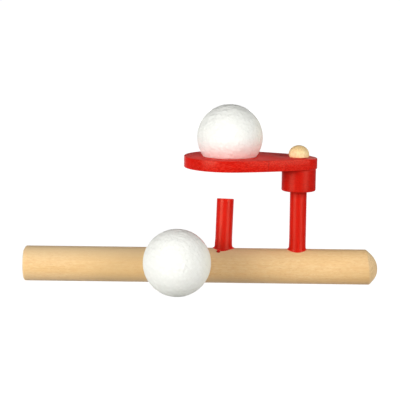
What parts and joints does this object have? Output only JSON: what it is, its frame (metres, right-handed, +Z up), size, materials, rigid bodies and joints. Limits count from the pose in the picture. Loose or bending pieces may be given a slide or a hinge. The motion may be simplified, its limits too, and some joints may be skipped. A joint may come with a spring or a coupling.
{
  "type": "blow ball pipe toy",
  "caption": "Wooden blow pipe with an upright nozzle and a post whose swinging ring arm holds a light ball over the air jet, and a spare ball beside it.",
  "frame": {"origin": "centre of the mouth end of the pipe, on the pipe's axis, where the lips hold the toy", "axes": "+X along the pipe from the mouth end to the domed end, +Z up along the post towards the ring, +Y to the left when blowing into the pipe"},
  "size_m": [0.2168, 0.0907, 0.1098],
  "materials": {
    "natural_wood": "satin",
    "red_wood": "satin",
    "white_foam": "matte"
  },
  "bodies": {
    "pipe_and_post": {"pipe": "natural_wood", "nozzle": "red_wood", "post": "red_wood", "post_collar": "red_wood", "pivot_peg": "natural_wood"},
    "swing_arm": {"ball_arm": "red_wood"},
    "ring_ball": {"ring_ball": "white_foam"},
    "spare_ball": {"spare_ball": "white_foam"}
  },
  "joints": [
    {"name": "arm_swing", "type": "hinge", "parent": "pipe_and_post", "child": "swing_arm", "pos_m": [0.1675, 0, 0.064], "axis": [0, 0, 1], "continuous": true},
    {"name": "ring_ball_float", "type": "slide", "parent": "swing_arm", "child": "ring_ball", "axis": [0, 0, 1], "range_m": [0, 0.12]},
    {"name": "spare_ball_lift", "type": "slide", "parent": "pipe_and_post", "child": "spare_ball", "axis": [0, 0, 1], "range_m": [0, 0.1]}
  ]
}
